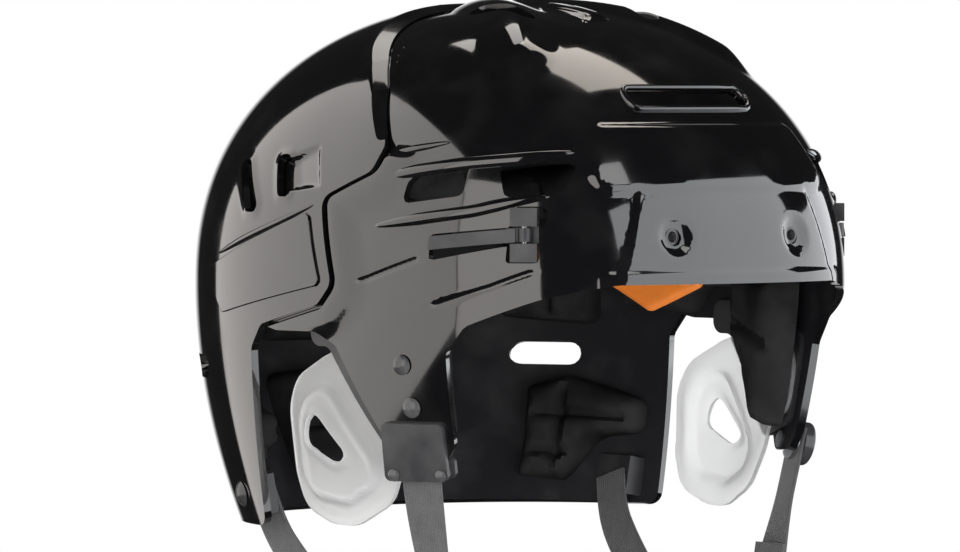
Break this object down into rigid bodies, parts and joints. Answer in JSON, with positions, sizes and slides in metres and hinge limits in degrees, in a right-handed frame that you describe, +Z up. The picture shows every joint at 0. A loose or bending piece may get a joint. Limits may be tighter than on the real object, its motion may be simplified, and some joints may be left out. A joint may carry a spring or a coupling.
{
  "type": "ice hockey helmet",
  "caption": "Ice hockey helmet: glossy front shell and sliding rear shell with side lock levers, foam pads, clear ear guards and a webbing chin strap with a snap.",
  "frame": {"origin": "centre of the head opening, in the plane of the shells' lower rim", "axes": "+Z up through the crown, -Y out of the front of the helmet, -X towards the wearer's right side; X = 0 is the mirror plane"},
  "size_m": [0.2212, 0.2613, 0.3122],
  "materials": {
    "shell_gloss": "glossy black moulded plastic with a soft waviness",
    "black_plastic": "satin black moulded plastic",
    "clear_plastic": "clear plastic with a faint blue cast, seen as frosted",
    "foam": "soft closed-cell foam with pressed channels, dull black",
    "orange_insert": "dull orange soft polymer",
    "webbing": "woven dark grey webbing",
    "steel": "plated steel",
    "black_steel": "black coated steel, semi-gloss"
  },
  "bodies": {
    "front_shell": {"front_shell": "shell_gloss", "lever_housing_right": "black_plastic", "lever_housing_left": "black_plastic", "lever_pins": "steel", "ear_guard_bracket_right": "black_plastic", "ear_guard_bracket_left": "black_plastic", "ear_guard_right": "clear_plastic", "ear_guard_left": "clear_plastic", "side_screws": "black_steel", "side_screw_nuts": "steel", "visor_tee_nuts": "steel", "forehead_pad": "foam", "crown_pad_right": "foam", "crown_pad_left": "foam", "upper_side_pad_right": "foam", "upper_side_pad_left": "foam", "lower_side_pad_right": "foam", "lower_side_pad_left": "foam", "temple_pad_right": "foam", "temple_pad_left": "foam", "impact_insert_right": "orange_insert", "impact_insert_left": "orange_insert", "strap_clip_right": "black_plastic", "clip_rivets": "black_steel", "chin_strap": "webbing", "strap_slider_right": "black_plastic", "strap_buckle_left": "steel", "snap_stud_left": "steel"},
    "rear_shell": {"rear_shell": "shell_gloss", "adjuster_rail_right": "black_plastic", "adjuster_rail_left": "black_plastic", "rail_screws": "steel", "rear_lower_pad_right": "foam", "rear_lower_pad_left": "foam", "rear_upper_pad_right": "foam", "rear_upper_pad_left": "foam", "occipital_pad": "foam", "rear_middle_pad": "foam", "rear_crown_pad": "foam", "rear_strap_right": "webbing", "rear_strap_left": "webbing", "rear_strap_anchor_right": "black_plastic", "rear_strap_anchor_left": "black_plastic", "rear_strap_rivets": "black_steel"},
    "right_lock": {"lock_lever_right": "black_plastic"},
    "left_lock": {"lock_lever_left": "black_plastic"},
    "left_front_strap": {"front_strap_left": "webbing", "snap_cap_left": "black_steel"}
  },
  "joints": [
    {"name": "size_slide", "type": "slide", "parent": "front_shell", "child": "rear_shell", "axis": [0, 1, 0], "range_m": [0, 0.012]},
    {"name": "right_lock_hinge", "type": "hinge", "parent": "front_shell", "child": "right_lock", "pos_m": [-0.07916, -0.09007, 0.116], "axis": [0, 0, 1], "range_deg": [0, 70]},
    {"name": "left_lock_hinge", "type": "hinge", "parent": "front_shell", "child": "left_lock", "pos_m": [0.07916, -0.09007, 0.116], "axis": [0, 0, -1], "range_deg": [0, 70]},
    {"name": "snap_strap_hinge", "type": "hinge", "parent": "front_shell", "child": "left_front_strap", "pos_m": [0.08243, -0.047, -0.02825], "axis": [0, 1, 0], "range_deg": [0, 100]}
  ]
}
